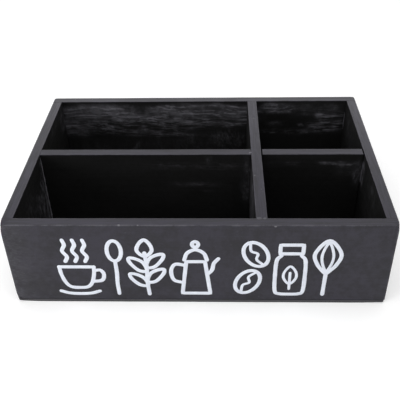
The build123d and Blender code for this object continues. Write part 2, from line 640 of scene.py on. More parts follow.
# A much lighter copy of the paint for the bottom panel's edges: painted light, for the light that
# the floor throws up on them
LIT_PANEL_EDGE_PAINT = Paint(
    "lit_panel_edge", deep=grey(0.033, 1.12), raised=grey(0.047, 1.1), worn=grey(0.057, 1.1),
    chip=grey(0.1, 1.1), streak_and_light=grey(0.05), matte=(0.62, 0.5), sheen_level=0.5, relief=0.6,
    specks=0.5,
)
# Light greys for fillets and dabs of dried paint, far lighter than the paint they are of, so that
# they show as bright lines and specks: painted highlights
DAB_PAINT_HIGHLIGHT = Paint(
    "dried_dab_highlight", deep=grey(0.045, 1.15), raised=grey(0.095, 1.15), worn=grey(0.09, 1.15),
    chip=grey(0.1), streak_and_light=grey(0.09), matte=(0.6, 0.5), sheen_level=0.35, relief=0.4,
    lined=0.3, specks=0.2,
)
# The lightest grey, for the fillet in the front left corner: a painted highlight line
DRIED_PAINT_HIGHLIGHT = Paint(
    "dried_paint_highlight", deep=grey(0.11, 1.1), raised=grey(0.26, 1.1), worn=grey(0.1, 1.1),
    chip=grey(0.1, 1.1), streak_and_light=grey(0.1, 1.1), matte=(0.6, 0.5), sheen_level=0.35, relief=0.4,
    lined=0.3, specks=0.2,
)
PAINTS = {
    Region.FACE: FACE_PAINT,
    Region.RIM: RUBBED_AND_LIT_RIM_PAINT,
    Region.INSIDE: SHADED_INSIDE_PAINT,
    Region.UNDERSIDE: UNDERSIDE_PAINT,
    Region.PANEL_EDGE: LIT_PANEL_EDGE_PAINT,
    Region.DIVIDER_TOP: DIMMED_DIVIDER_TOP_PAINT,
}


# Boards

# The way a face of a board looks
Way = tuple[Axis, Side]


@dataclass(frozen=True)
class SandedEdge:
    """A straight edge between two faces of a board, rounded by sanding.

    The faces are given by their axis and the side they look to. Where the first one isn't an
    outer face of the board, first_face is its place on that axis. Where only part of the edge
    is sanded, span gives its two ends.
    """

    first: Axis
    first_side: Side
    second: Axis
    second_side: Side
    radius: float
    first_face: float | None = None
    span: tuple[float, float] | None = None
    worn: bool = True

    def lengthwise(self) -> Axis:
        """The axis that the edge runs along."""
        return next(axis for axis in Axis if axis not in (self.first, self.second))


@dataclass(frozen=True)
class Ding:
    """A small dent where the paint has chipped, in millimetres."""

    x: float
    y: float
    z: float
    radius: float
    depth: float
    paint_loss: float

    def gap(self, points: np.ndarray) -> np.ndarray:
        """How far points are from the middle of the ding."""
        return np.linalg.norm(points - np.array([self.x, self.y, self.z]), axis=1)


@dataclass(frozen=True)
class BrushAndLightPatch:
    """An area of a face with dry brush streaks, as a soft-edged ellipse. On the front face it lays
    a lighter haze that paints light.

    It lies along the board and up it, or on a face that looks up, along and across it. Its
    cover falls to nothing at fade_end of its half widths, over a band that is fade_width wide.
    """

    along: float
    up: float
    half_along: float
    half_up: float
    cover: float
    upright: bool = False
    scratched: float = 0.6
    fade_end: float = 1.3
    fade_width: float = 0.6

    def cover_at(self, along: np.ndarray, up: np.ndarray) -> np.ndarray:
        """How much paint the brush left at places along the face and up it."""
        reach = np.hypot((along - self.along) / self.half_along, (up - self.up) / self.half_up)
        return self.cover * np.clip((self.fade_end - reach) / self.fade_width, 0.0, 1.0)


@dataclass(frozen=True)
class Block:
    """A box-shaped space left out of a board."""

    low: tuple[float, float, float]
    high: tuple[float, float, float]


@dataclass(frozen=True)
class Waves:
    """Soft waves in a surface, in millimetres: their length, their height and where they start."""

    length: float
    height: float
    start: tuple[float, float, float] = (0.0, 0.0, 0.0)

    def at(self, point: Vector) -> float:
        """How far the waves rise or fall at a point."""
        return self.height * noise.noise(point / self.length + Vector(self.start))


@dataclass(frozen=True)
class HandWork:
    """How planing and sanding by hand leave a surface below its nominal face."""

    depth: float = 0.07
    slow: Waves = Waves(46.0, 0.05)
    quick: Waves = Waves(11.0, 0.02, (7.3, 1.9, 4.1))
    rim_depth: float = 0.1
    rim: Waves = Waves(33.0, 0.09, (2.2, 8.8, 5.5))

    def relief(self, point: Vector, upward: float) -> float:
        """How far the surface lies below its nominal face.

        Args:
            point: A point of the tray in millimetres.
            upward: How far the surface looks up, from 0 to 1.

        Returns:
            A depth in millimetres, never negative.
        """
        face = self.depth + self.slow.at(point) + self.quick.at(point)
        return max(0.0, face + upward * (self.rim_depth + self.rim.at(point)))


HAND_WORK = HandWork()


@dataclass
class Board:
    """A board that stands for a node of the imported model, as one fine mesh.

    Lengths are millimetres. Mesh lines lie step apart, closer at edges and dings, at shares of
    their radius, and no nearer to each other than least_gaps allows for each kind of line.
    Edges are rubbed as far as rubbed_reach times their radius or least_rubbed, whichever is
    more, and it fades out at rubbed_end times that. A chip reaches chip_reach times its ding's
    radius. Points less than slack outside an edge's faces are still sanded, and those less
    than face_slack off a brushed face are still on it.
    """

    node: str
    lengthwise: Axis
    outward: Way | None
    edges: list[SandedEdge]
    spaces: list[Block] = field(default_factory=list)
    dings: list[Ding] = field(default_factory=list)
    brushed_and_lit: dict[Way, list[BrushAndLightPatch]] = field(default_factory=dict)
    sides: dict[Way, Region] = field(default_factory=dict)
    step: float = 3.0
    edge_lines: tuple[float, ...] = (1 / 3, 2 / 3, 1.0, 1.35, 2.4)
    ding_lines: tuple[float, ...] = (-1.0, -0.5, 0.0, 0.5, 1.0)
    least_gaps: tuple[float, float, float] = (0.01, 0.12, 0.9)
    face_recess: float = 0.0
    rubbed_reach: float = 1.5
    least_rubbed: float = 1.2
    rubbed_end: float = 1.2
    chip_reach: float = 0.9
    slack: float = 1e-4
    face_slack: float = 0.05
    low: np.ndarray = field(init=False)
    high: np.ndarray = field(init=False)

    def __post_init__(self) -> None:
        """Read the board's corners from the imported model."""
        low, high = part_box(self.node)
        self.low = np.array(low) / MM
        self.high = np.array(high) / MM

    def face_at(self, axis: Axis, side: Side) -> float:
        """The place of an outer face of the board on its axis."""
        return float((self.low if side is Side.LOW else self.high)[axis.value])

    def faces_of(self, edge: SandedEdge) -> tuple[tuple[Axis, Side, float], ...]:
        """The two faces that meet at an edge.

        Args:
            edge: The edge.

        Returns:
            The axis, the side and the place of each face.
        """
        first = edge.first_face
        if first is None:
            first = self.face_at(edge.first, edge.first_side)
        second = self.face_at(edge.second, edge.second_side)
        return (edge.first, edge.first_side, first), (edge.second, edge.second_side, second)

    def grid_lines(self, axis: Axis) -> np.ndarray:
        """Places of the mesh lines along an axis, close together at sanded edges.

        Args:
            axis: The axis that the lines divide.

        Returns:
            Sorted places in millimetres.
        """
        low, high = self.low[axis.value], self.high[axis.value]
        count = max(2, round((high - low) / self.step))
        fixed = [low, high]
        close = []
        for edge in self.edges:
            for edge_axis, side, place in self.faces_of(edge):
                if edge_axis is axis:
                    fixed.append(place)
                    close += [
                        place - side.value * edge.radius * share for share in self.edge_lines
                    ]
            if edge.span and axis is edge.lengthwise():
                fixed += list(edge.span)
                close += [edge.span[0] + edge.radius, edge.span[1] - edge.radius]
        for space in self.spaces:
            fixed += [space.low[axis.value], space.high[axis.value]]
        for ding in self.dings:
            centre = (ding.x, ding.y, ding.z)[axis.value]
            close += [centre + ding.radius * share for share in self.ding_lines]
        even = list(np.linspace(low, high, count + 1))

        kept: list[float] = []
        for places, gap in zip((fixed, close, even), self.least_gaps):
            for place in places:
                on_board = low - TINY <= place <= high + TINY
                if on_board and all(abs(place - other) > gap for other in kept):
                    kept.append(place)
        return np.array(sorted(kept))

    def skin(self) -> tuple[np.ndarray, np.ndarray, list[Way]]:
        """The outside of the board as a net of quads on its grid lines.

        Returns:
            Points in millimetres, quads as point numbers, and the way each quad looks.
        """
        lines = [self.grid_lines(axis) for axis in Axis]
        middles = [(line[1:] + line[:-1]) / 2 for line in lines]
        solid = np.ones([len(middle) for middle in middles], bool)
        for space in self.spaces:
            inside = [
                (middle > space.low[n]) & (middle < space.high[n])
                for n, middle in enumerate(middles)
            ]
            solid &= ~(inside[0][:, None, None] & inside[1][None, :, None] & inside[2])
        padded = np.pad(solid, 1)
        counts = np.array([len(line) for line in lines])
        quads, ways = [], []
        for axis in Axis:
            a, b, c = axis.value, (axis.value + 1) % 3, (axis.value + 2) % 3
            turned = np.moveaxis(padded, (a, b, c), (0, 1, 2))[:, 1:-1, 1:-1]
            for side in Side:
                before, after = turned[:-1], turned[1:]
                shown = (before & ~after) if side is Side.HIGH else (after & ~before)
                order = ((0, 0), (1, 0), (1, 1), (0, 1))
                if side is Side.LOW:
                    order = order[::-1]
                for plane, row, column in np.argwhere(shown):
                    quad = []
                    for up_row, up_column in order:
                        index = [0, 0, 0]
                        index[a], index[b], index[c] = plane, row + up_row, column + up_column
                        quad.append((index[0] * counts[1] + index[1]) * counts[2] + index[2])
                    quads.append(quad)
                    ways.append((axis, side))
        used, numbered = np.unique(np.array(quads), return_inverse=True)
        spots = np.stack(np.unravel_index(used, counts), 1)
        points = np.stack([lines[n][spots[:, n]] for n in range(3)], 1)
        return points, numbered.reshape(-1, 4), ways

    def edge_distances(self, points: np.ndarray, edge: SandedEdge) -> list[np.ndarray]:
        """How far points lie in from the two faces of an edge.

        Args:
            points: Points in millimetres.
            edge: The edge.

        Returns:
            The distances from the first face, and those from the second.
        """
        return [
            (place - points[:, axis.value]) * side.value
            for axis, side, place in self.faces_of(edge)
        ]

    def span_share(self, points: np.ndarray, edge: SandedEdge) -> np.ndarray:
        """How much of an edge's radius applies at points near the ends of its span.

        Args:
            points: Points in millimetres.
            edge: The edge.

        Returns:
            A share from 0 to 1 for each point.
        """
        if edge.span is None:
            return np.ones(len(points))
        along = points[:, edge.lengthwise().value]
        reach = np.minimum(along - edge.span[0], edge.span[1] - along)
        return np.clip(reach / edge.radius, 0.0, 1.0)

    def sand(self, points: np.ndarray, edge: SandedEdge) -> np.ndarray:
        """Round one edge, moving points from the square corner onto quarter circles.

        Args:
            points: Points in millimetres.
            edge: The edge to round.

        Returns:
            The moved points.
        """
        first, second = self.edge_distances(points, edge)
        radius = edge.radius * self.span_share(points, edge)
        near = (first < radius - TINY) & (second < radius - TINY)
        near &= (first > -self.slack) & (second > -self.slack)
        # Points at one level under the two faces make a square corner, which becomes an arc
        level = np.minimum(first, second)[near]
        circle = radius[near] - level
        slope = 1 - (np.maximum(first, second)[near] - level) / circle
        angle = slope * math.pi / 4
        on_first = first[near] <= second[near]
        angle = np.where(on_first, angle, math.pi / 2 - angle)
        moved = points.copy()
        moves = (
            (edge.first, edge.first_side, radius[near] - circle * np.cos(angle) - first[near]),
            (edge.second, edge.second_side, radius[near] - circle * np.sin(angle) - second[near]),
        )
        for axis, side, inward in moves:
            moved[near, axis.value] -= side.value * inward
        return moved

    def work_surface(self, points: np.ndarray, quads: np.ndarray) -> np.ndarray:
        """Give the faces their hand-worked unevenness and dings, always inwards.

        Args:
            points: Points in millimetres.
            quads: The quads that join them.

        Returns:
            The moved points.
        """
        a, b, c, d = (points[quads[:, n]] for n in range(4))
        across = np.cross(c - a, d - b)
        normals = np.zeros_like(points)
        for n in range(4):
            np.add.at(normals, quads[:, n], across)
        normals /= np.maximum(np.linalg.norm(normals, axis=1), TINY)[:, None]
        depth = np.array([
            HAND_WORK.relief(Vector(point), max(0.0, normal[2]))
            for point, normal in zip(points.tolist(), normals.tolist())
        ])
        if self.outward:
            axis, side = self.outward
            depth += self.face_recess * np.clip(normals[:, axis.value] * side.value, 0.0, 1.0)
        for ding in self.dings:
            depth += ding.depth * np.exp(-((ding.gap(points) / ding.radius) ** 2))
        return np.clip(points - normals * depth[:, None], self.low, self.high)

    def marks(self, points: np.ndarray) -> dict[str, np.ndarray]:
        """What the paints read from the mesh: nearness to edges, chips, and dry brushing, which on
        the front face also paints light.

        Args:
            points: Points in millimetres, before sanding.

        Returns:
            A value from 0 to 1 for each point, by name.
        """
        nearness = np.zeros(len(points))
        for edge in self.edges:
            if edge.worn:
                reach = max(edge.radius * self.rubbed_reach, self.least_rubbed)
                away = np.hypot(*self.edge_distances(points, edge)) / reach
                share = np.clip(self.rubbed_end - away, 0.0, 1.0) * self.span_share(points, edge)
                nearness = np.maximum(nearness, share)
        chipped = np.zeros(len(points))
        for ding in self.dings:
            away = ding.gap(points) / (ding.radius * self.chip_reach)
            chipped = np.maximum(chipped, ding.paint_loss * np.exp(-(away ** 2)))
        covers = {False: np.zeros(len(points)), True: np.zeros(len(points))}
        # Where no patch lies, scratched comes out as a half
        total = np.full(len(points), TINY)
        scratched = total / 2
        for (axis, side), patches in self.brushed_and_lit.items():
            off_face = np.abs(points[:, axis.value] - self.face_at(axis, side))
            along = points[:, self.lengthwise.value]
            up = points[:, (Axis.DEEP if axis is Axis.UP else Axis.UP).value]
            for patch in patches:
                cover = patch.cover_at(along, up) * (off_face < self.face_slack)
                covers[patch.upright] = np.maximum(covers[patch.upright], cover)
                total += cover
                scratched += cover * patch.scratched
        return {
            "edge_nearness": nearness,
            "chipped": chipped,
            "brushed_and_lit_along": covers[False],
            "brushed_and_lit_up": covers[True],
            "scratched": scratched / total,
        }

    def region(self, way: Way) -> Region:
        """Which paint the faces that look one way carry.

        Args:
            way: The way that the faces look.

        Returns:
            Their region.
        """
        if way in self.sides:
            return self.sides[way]
        if way == (Axis.UP, Side.HIGH):
            return Region.RIM
        if way == self.outward or way == (Axis.UP, Side.LOW):
            return Region.FACE
        return Region.INSIDE

    def build(self) -> None:
        """Make the board's mesh, dress it and put it in the place of its node."""
        square, quads, ways = self.skin()
        marks = self.marks(square)
        points = square
        for edge in self.edges:
            points = self.sand(points, edge)
        points = self.work_surface(points, quads)

        mesh = bpy.data.meshes.new(self.node + "_surface")
        mesh.from_pydata((points * MM).tolist(), [], quads.tolist())
        for name, values in marks.items():
            layer = mesh.attributes.new(name, "FLOAT", "POINT")
            layer.data.foreach_set("value", values.astype(np.float32))
        for region in Region:
            mesh.materials.append(PAINTS[region].material(self.lengthwise))
        numbers = [self.region(way).value for way in ways]
        mesh.polygons.foreach_set("material_index", numbers)
        mesh.polygons.foreach_set("use_smooth", [True] * len(quads))
        mesh.set_sharp_from_angle(angle=CREASE)
        piece = bpy.data.objects.new("painted_" + self.node, mesh)
        bpy.context.scene.collection.objects.link(piece)
        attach(piece, BODY)
        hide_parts(self.node)
        log.info("%s: %d points, %d faces", piece.name, len(points), len(quads))


def outer_top(axis: Axis, side: Side, radius: float) -> SandedEdge:
    """The sanded edge between the top of a board and one of its upright faces."""
    return SandedEdge(axis, side, Axis.UP, Side.HIGH, radius)


@dataclass
class Walls:
    """The four walls. The front and back boards cover the ends of the side boards."""

    outer_round: float = 1.0
    inner_round: float = 0.6
    corner_round: float = 1.4
    foot_round: float = 0.35
    paint_recess: float = 0.17
    front_step: float = 2.5
    front_dings: tuple[Ding, ...] = (
        Ding(-59.1, -102.0, 80.2, 1.5, 0.3, 0.68),
        Ding(-44.8, -102.2, 80.3, 1.1, 0.22, 0.7),
        Ding(58.0, -102.4, 79.4, 1.2, 0.35, 1.0),
        Ding(94.7, -102.1, 80.2, 0.9, 0.15, 0.5),
        Ding(113.2, -102.1, 79.8, 1.0, 0.15, 0.45),
        Ding(48.5, -94.0, 80.2, 1.6, 0.0, 0.45),
        Ding(-150.0, -102.5, 2.0, 4.0, 0.8, 0.2),
        Ding(-150.0, -102.5, 79.8, 4.5, 1.25, 0.15),
        Ding(150.0, -102.5, 79.8, 3.5, 0.85, 0.15),
    )
    back_dings: tuple[Ding, ...] = (
        Ding(-150.0, 102.5, 79.8, 2.0, 0.2, 0.15),
        Ding(150.0, 102.5, 79.8, 2.4, 0.3, 0.15),
    )

    def foot(self, axis: Axis, side: Side) -> SandedEdge:
        """The lower outer edge of a wall, which keeps its dark paint above the panel."""
        return SandedEdge(axis, side, Axis.UP, Side.LOW, self.foot_round, worn=False)

    def long_board(self, node: str, side: Side) -> Board:
        """The front or back board.

        Args:
            node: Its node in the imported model.
            side: LOW for the front board and HIGH for the back board.

        Returns:
            The board, ready to build.
        """
        inner = Side.HIGH if side is Side.LOW else Side.LOW
        low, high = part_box("bottom_panel")
        thick = (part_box(node)[1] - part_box(node)[0]).y / MM
        span = (low.x / MM + thick, high.x / MM - thick)
        edges = [
            outer_top(Axis.DEEP, side, self.outer_round),
            outer_top(Axis.ACROSS, Side.LOW, self.outer_round),
            outer_top(Axis.ACROSS, Side.HIGH, self.outer_round),
            SandedEdge(Axis.DEEP, inner, Axis.UP, Side.HIGH, self.inner_round, span=span),
            SandedEdge(Axis.ACROSS, Side.LOW, Axis.DEEP, side, self.corner_round),
            SandedEdge(Axis.ACROSS, Side.HIGH, Axis.DEEP, side, self.corner_round),
            self.foot(Axis.DEEP, side),
            self.foot(Axis.ACROSS, Side.LOW),
            self.foot(Axis.ACROSS, Side.HIGH),
        ]
        ends = {(Axis.ACROSS, Side.LOW): Region.FACE, (Axis.ACROSS, Side.HIGH): Region.FACE}
        return Board(node, Axis.ACROSS, (Axis.DEEP, side), edges, sides=ends)

    def side_board(self, node: str, side: Side) -> Board:
        """The left or right board, between the front and back boards.

        Args:
            node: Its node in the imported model.
            side: LOW for the left board and HIGH for the right board.

        Returns:
            The board, ready to build.
        """
        inner = Side.HIGH if side is Side.LOW else Side.LOW
        edges = [
            outer_top(Axis.ACROSS, side, self.outer_round),
            outer_top(Axis.ACROSS, inner, self.inner_round),
            self.foot(Axis.ACROSS, side),
        ]
        return Board(node, Axis.DEEP, (Axis.ACROSS, side), edges)

    def front_board(self) -> Board:
        """The front board, which carries the white drawings and painted light at the left end of
        its face.

        Returns:
            The board, ready to build.
        """
        board = self.long_board("front_board", Side.LOW)
        board.dings = list(self.front_dings)
        board.face_recess = self.paint_recess
        board.step = self.front_step
        # These two soft patches lighten the left end and the lower left of the outward face:
        # painted light, where the face would catch more light
        board.brushed_and_lit[(Axis.DEEP, Side.LOW)] = [
            BrushAndLightPatch(-190, 46, 62, 130, 1.0, scratched=0.0),
            BrushAndLightPatch(-140, -6, 74, 24, 0.66, scratched=0.0),
        ]
        board.brushed_and_lit[(Axis.DEEP, Side.HIGH)] = [
            BrushAndLightPatch(-80, 68, 50, 10, 0.7, scratched=0.4),
            BrushAndLightPatch(-10, 58, 60, 12, 0.55, scratched=0.9),
            BrushAndLightPatch(-60, 40, 40, 6, 0.35),
            BrushAndLightPatch(95, 66, 40, 12, 0.6, scratched=0.7),
        ]
        return board

    def back_board(self) -> Board:
        """The back board, whose inner face shows the most brush streaks.

        Returns:
            The board, ready to build.
        """
        board = self.long_board("back_board", Side.HIGH)
        board.dings = list(self.back_dings)
        board.brushed_and_lit[(Axis.DEEP, Side.LOW)] = [
            # The upper patches fade out just under the rim and leave a darker strip there: painted
            # shade under the rim
            BrushAndLightPatch(-106, 69, 44, 8.8, 0.95, scratched=0.12),
            BrushAndLightPatch(-130, 57, 20, 17, 0.85, scratched=0.5),
            BrushAndLightPatch(-2, 69.5, 64, 8.4, 1.0, scratched=0.2),
            BrushAndLightPatch(-66, 61.5, 34, 5, 0.95, scratched=0.2),
            BrushAndLightPatch(-84, 57, 50, 6, 0.7, scratched=1.0),
            BrushAndLightPatch(-20, 56, 54, 7, 0.76, scratched=1.0),
            BrushAndLightPatch(26, 62, 30, 11, 0.85, scratched=0.6),
            BrushAndLightPatch(-72, 48, 60, 6, 0.64, scratched=1.0),
            BrushAndLightPatch(-44, 42.5, 40, 3, 0.66, scratched=0.9),
            BrushAndLightPatch(-60, 26, 96, 12, 0.3, upright=True),
            BrushAndLightPatch(24, 37, 20, 12, 0.52, upright=True, scratched=0.8),
            BrushAndLightPatch(-8, 34, 24, 10, 0.42, upright=True, scratched=0.9),
            BrushAndLightPatch(74, 72.5, 21, 6.2, 0.9, scratched=0.3),
            BrushAndLightPatch(98, 54.5, 3, 1.6, 1.0),
            BrushAndLightPatch(72, 55, 10, 4, 0.5),
            BrushAndLightPatch(128, 64, 19, 5, 0.85, scratched=1.0),
            BrushAndLightPatch(124, 53, 20, 8, 0.8, scratched=1.0),
            BrushAndLightPatch(95, 46, 44, 4, 0.5, scratched=0.9),
            BrushAndLightPatch(108, 71, 34, 8, 0.42, scratched=0.4),
        ]
        return board

    def left_board(self) -> Board:
        """The left board, with upright smears near the cross divider.

        Returns:
            The board, ready to build.
        """
        board = self.side_board("left_board", Side.LOW)
        board.brushed_and_lit[(Axis.ACROSS, Side.HIGH)] = [
            BrushAndLightPatch(-13, 34, 13, 28, 1.0, upright=True, scratched=1.0),
            BrushAndLightPatch(-26, 42, 12, 12, 0.85, upright=True, scratched=1.0),
            BrushAndLightPatch(-52, 54, 26, 15, 0.45, upright=True, scratched=0.8),
            BrushAndLightPatch(-7, 66, 4, 14, 0.6, upright=True),
            BrushAndLightPatch(86, 66, 14, 14, 0.6, scratched=0.5),
            BrushAndLightPatch(60, 74, 24, 6, 0.35, scratched=0.5),
        ]
        return board

    def right_board(self) -> Board:
        """The right board, with upright smears in the front bay.

        Returns:
            The board, ready to build.
        """
        board = self.side_board("right_board", Side.HIGH)
        board.brushed_and_lit[(Axis.ACROSS, Side.LOW)] = [
            BrushAndLightPatch(-9, 62, 5, 14, 0.8, upright=True),
            BrushAndLightPatch(-50, 50, 30, 30, 0.34, upright=True, scratched=0.9),
            BrushAndLightPatch(62, 62, 30, 16, 0.3, upright=True),
        ]
        return board

    def build(self) -> None:
        """Build the four walls."""
        for board in (
            self.front_board(), self.back_board(), self.left_board(), self.right_board()
        ):
            board.build()


@dataclass
class Dividers:
    """The two dividers that cross in a half lap.

    The space of a notch runs past its board by notch_reach where it is open.
    """

    top_round: float = 0.6
    notch_round: float = 0.25
    tight_gap: float = 0.05
    loose_gap: float = 0.85
    hidden_gap: float = 0.4
    notch_reach: float = 1.0
    ends: dict[Way, Region] = field(default_factory=lambda: {
        (Axis.UP, Side.LOW): Region.INSIDE, (Axis.UP, Side.HIGH): Region.DIVIDER_TOP,
    })

    def long_divider(self) -> Board:
        """The front-to-back divider, notched from below.

        Returns:
            The board, ready to build.
        """
        low, high = (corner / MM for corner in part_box("long_divider"))
        cross_low, cross_high = (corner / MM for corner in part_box("cross_divider"))
        middle_up = (low.z + high.z) / 2
        past = self.notch_reach
        notch = Block(
            (low.x - past, cross_low.y - self.hidden_gap, low.z - past),
            (high.x + past, cross_high.y + self.hidden_gap, middle_up),
        )
        edges = [
            outer_top(Axis.ACROSS, Side.LOW, self.top_round),
            outer_top(Axis.ACROSS, Side.HIGH, self.top_round),
        ]
        brushed_and_lit = {
            (Axis.ACROSS, Side.LOW): [
                BrushAndLightPatch(-40, 46, 50, 36, 0.7, upright=True),
                BrushAndLightPatch(55, 60, 30, 16, 0.3, upright=True),
            ],
            (Axis.ACROSS, Side.HIGH): [
                BrushAndLightPatch(-50, 60, 34, 14, 0.5, scratched=0.8),
                BrushAndLightPatch(52, 62, 34, 12, 0.45, scratched=0.6),
                BrushAndLightPatch(-50, 30, 30, 12, 0.25, upright=True),
            ],
        }
        dings = [
            Ding(48.3, 60.0, 80.4, 1.3, 0.12, 0.5),
            Ding(45.4, -36.0, 80.4, 1.2, 0.12, 0.6),
            Ding(50.5, -58.0, 80.4, 0.9, 0.1, 0.35),
        ]
        return Board(
            "long_divider", Axis.DEEP, None, edges, [notch], dings, brushed_and_lit, self.ends
        )

    def cross_divider(self) -> Board:
        """The left-to-right divider, notched from above.

        Returns:
            The board, ready to build.
        """
        low, high = (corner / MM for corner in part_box("cross_divider"))
        long_low, long_high = (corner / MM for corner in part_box("long_divider"))
        middle_up = (low.z + high.z) / 2
        left, right = long_low.x - self.tight_gap, long_high.x + self.loose_gap
        past = self.notch_reach
        notch = Block((left, low.y - past, middle_up), (right, high.y + past, high.z + past))
        edges = [
            outer_top(Axis.DEEP, Side.LOW, self.top_round),
            outer_top(Axis.DEEP, Side.HIGH, self.top_round),
            SandedEdge(
                Axis.ACROSS, Side.HIGH, Axis.UP, Side.HIGH, self.notch_round, first_face=left
            ),
            SandedEdge(
                Axis.ACROSS, Side.LOW, Axis.UP, Side.HIGH, self.notch_round, first_face=right
            ),
            outer_top(Axis.ACROSS, Side.HIGH, self.notch_round),
        ]
        brushed_and_lit = {
            (Axis.DEEP, Side.LOW): [
                BrushAndLightPatch(-60, 68, 30, 7, 0.12, scratched=0.5),
                BrushAndLightPatch(-28, 69, 24, 4, 0.34, scratched=0.9),
                BrushAndLightPatch(16, 68, 26, 4.5, 0.36, scratched=0.9),
                BrushAndLightPatch(7, 75, 1.6, 6, 1.0, upright=True),
                BrushAndLightPatch(-4, 49, 26, 3, 0.42),
                BrushAndLightPatch(6, 41, 6, 2, 0.5),
                BrushAndLightPatch(40, 52, 5, 26, 0.55, upright=True),
                BrushAndLightPatch(110, 71.2, 8, 1.6, 0.95),
                BrushAndLightPatch(127, 70.2, 12, 2.2, 0.85),
                BrushAndLightPatch(70, 71, 20, 3, 0.4),
                BrushAndLightPatch(128, 62, 12, 5, 0.4),
                BrushAndLightPatch(137, 60, 4, 14, 0.7, upright=True),
            ],
            (Axis.DEEP, Side.HIGH): [
                BrushAndLightPatch(-90, 64, 46, 12, 0.6, scratched=0.7),
                BrushAndLightPatch(-20, 60, 50, 12, 0.5, scratched=0.9),
                BrushAndLightPatch(98, 62, 36, 12, 0.5, scratched=0.7),
            ],
        }
        dings = [Ding(42.6, -1.5, 80.4, 1.1, 0.1, 0.9)]
        return Board(
            "cross_divider", Axis.ACROSS, None, edges, [notch], dings, brushed_and_lit, self.ends
        )

    def build(self) -> None:
        """Build both dividers."""
        self.long_divider().build()
        self.cross_divider().build()


@dataclass
class Bottom:
    """The thin bottom panel and the mouths in which its short brads' heads lie.

    A head is the points of a packed brad that lie below heads_below, within heads_apart of
    each other. Its mouth leaves head_room around it. It runs from mouth_reach under the ground
    up to mouth_depth.
    """

    corner_round: float = 2.5
    edge_round: float = 0.3
    step: float = 5.0
    head_room: float = 0.03
    mouth_depth: float = 0.75
    mouth_reach: float = 1.0
    heads_below: float = 0.3
    heads_apart: float = 3.0
    dings: tuple[Ding, ...] = (
        Ding(-150.0, -102.5, 0.0, 11.0, 0.7, 0.2),
        Ding(-150.0, -102.5, 0.6, 3.0, 0.45, 0.2),
        Ding(150.0, -102.5, 0.0, 14.0, 0.45, 0.2),
    )
    streaks: tuple[BrushAndLightPatch, ...] = (
        BrushAndLightPatch(-60, -48, 70, 30, 0.32, scratched=0.5),
        BrushAndLightPatch(-90, 44, 46, 26, 0.36, scratched=0.5),
        BrushAndLightPatch(0, 56, 40, 24, 0.3, scratched=0.7),
        BrushAndLightPatch(96, 48, 34, 26, 0.34, scratched=0.5),
        BrushAndLightPatch(98, -52, 32, 26, 0.28, scratched=0.7),
    )

    def brad_mouths(self) -> list[Block]:
        """The openings in the underside in which the brads' heads lie.

        Returns:
            One block for each brad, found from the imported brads.
        """
        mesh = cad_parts["bottom_panel_brads"].data
        points = np.array([vertex.co for vertex in mesh.vertices]) / MM
        heads = points[points[:, 2] < self.heads_below]
        room = self.head_room
        mouths: list[Block] = []
        while len(heads):
            near = np.linalg.norm(heads[:, :2] - heads[0, :2], axis=1) < self.heads_apart
            low, high = heads[near].min(0), heads[near].max(0)
            mouths.append(Block(
                (low[0] - room, low[1] - room, -self.mouth_reach),
                (high[0] + room, high[1] + room, self.mouth_depth),
            ))
            heads = heads[~near]
        return mouths

    def build(self) -> None:
        """Build the panel."""
        edges = [
            SandedEdge(axis, side, Axis.UP, level, self.edge_round)
            for side in Side
            for axis in (Axis.ACROSS, Axis.DEEP)
            for level in (Side.HIGH, Side.LOW)
        ]
        edges += [
            SandedEdge(Axis.ACROSS, across, Axis.DEEP, deep, self.corner_round, worn=False)
            for across in Side
            for deep in Side
        ]
        sides = {
            (axis, side): Region.PANEL_EDGE for axis in (Axis.ACROSS, Axis.DEEP) for side in Side
        }
        sides[(Axis.UP, Side.HIGH)] = Region.INSIDE
        sides[(Axis.UP, Side.LOW)] = Region.UNDERSIDE
        brushed_and_lit = {(Axis.UP, Side.HIGH): list(self.streaks)}
        Board(
            "bottom_panel", Axis.ACROSS, None, edges, self.brad_mouths(), list(self.dings),
            brushed_and_lit, sides, self.step,
        ).build()


@dataclass(frozen=True)
class Bead:
    """A thin uneven fillet of dried paint in an upright corner, in millimetres, whose light grey
    paints a highlight along the corner.

    Its radius grows by foot_spread towards its foot, swells by a share of up to unevenness
    along its waves, and thins out over taper at both ends. It lies sink inside both boards.
    """

    across: float
    deep: float
    low: float
    high: float
    radius: float = 0.42
    foot_spread: float = 0.4
    sink: float = 0.08
    step: float = 1.2
    taper: float = 6.0
    least_radius: float = 0.05
    unevenness: float = 0.5
    waves: float = 0.21
    arc_points: int = 7

    def mesh(self) -> bpy.types.Mesh:
        """Join rings, each an arc of points and one point inside the corner.

        Returns:
            The bead's mesh.
        """
        inward = 1.0 if self.across < 0 else -1.0
        points, faces = [], []
        ring = self.arc_points + 1
        for n, up in enumerate(np.arange(self.low, self.high, self.step)):
            fade = min(1.0, (up - self.low) / self.taper, (self.high - up) / self.taper) ** 0.5
            place = Vector((self.across, self.deep, up * self.waves))
            swell = 1 + self.unevenness * noise.noise(place)
            spread = self.foot_spread * (self.high - up) / (self.high - self.low)
            radius = max(self.least_radius, (self.radius + spread) * swell * fade)
            for turn in range(self.arc_points):
                angle = turn * math.pi / 2 / (self.arc_points - 1)
                points.append((
                    (self.across + inward * (radius * math.cos(angle) - self.sink)) * MM,
                    (self.deep - radius * math.sin(angle) + self.sink) * MM,
                    up * MM,
                ))
            points.append((
                (self.across - inward * self.sink) * MM, (self.deep + self.sink) * MM, up * MM
            ))
            if n:
                base = n * ring
                for k in range(ring):
                    turned = (k + 1) % ring
                    faces.append(
                        (base + k, base + turned, base + turned - ring, base + k - ring)
                    )
        last = len(points) - ring
        faces += [tuple(range(ring)), tuple(range(last + ring - 1, last - 1, -1))]
        mesh = bpy.data.meshes.new("paint_bead")
        mesh.from_pydata(points, [], faces)
        return mesh


